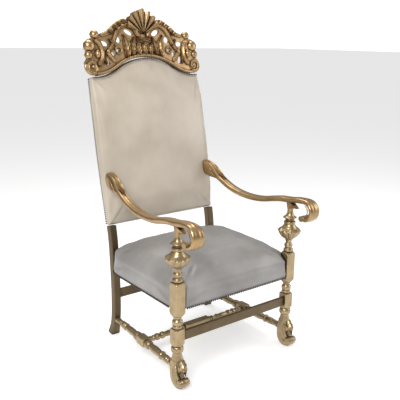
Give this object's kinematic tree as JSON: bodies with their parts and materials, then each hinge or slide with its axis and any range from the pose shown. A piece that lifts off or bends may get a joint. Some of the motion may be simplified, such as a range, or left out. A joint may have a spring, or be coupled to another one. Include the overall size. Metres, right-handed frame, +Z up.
{
  "type": "throne",
  "caption": "Tall upholstered ceremonial armchair of carved and gilded wood, with a pierced shell crest, scrolled arms, turned legs on scroll feet and turned stretchers.",
  "frame": {"origin": "middle of the throne's footprint, on the floor", "axes": "+Z up, -Y towards the front (the way the sitter faces), +X to the right as seen from the front"},
  "size_m": [0.669, 0.8532, 1.4216],
  "materials": {
    "gilding": "warm antique gilding over carved wood, dark in the hollows",
    "dark_gilding": "worn olive-bronze gilding on plain flat wood",
    "back_leather": "smooth taupe leather, soft sheen",
    "seat_leather": "smooth grey-taupe leather, soft sheen"
  },
  "bodies": {
    "root": {"front_leg_right": "gilding", "front_leg_left": "gilding", "back_leg_right": "dark_gilding", "back_leg_left": "dark_gilding", "front_rail": "dark_gilding", "back_rail": "dark_gilding", "side_stretcher_right": "gilding", "side_stretcher_left": "gilding", "cross_stretcher": "gilding", "back_panel": "back_leather", "crest": "gilding", "arm_right": "gilding", "arm_left": "gilding", "seat": "seat_leather"}
  },
  "joints": []
}
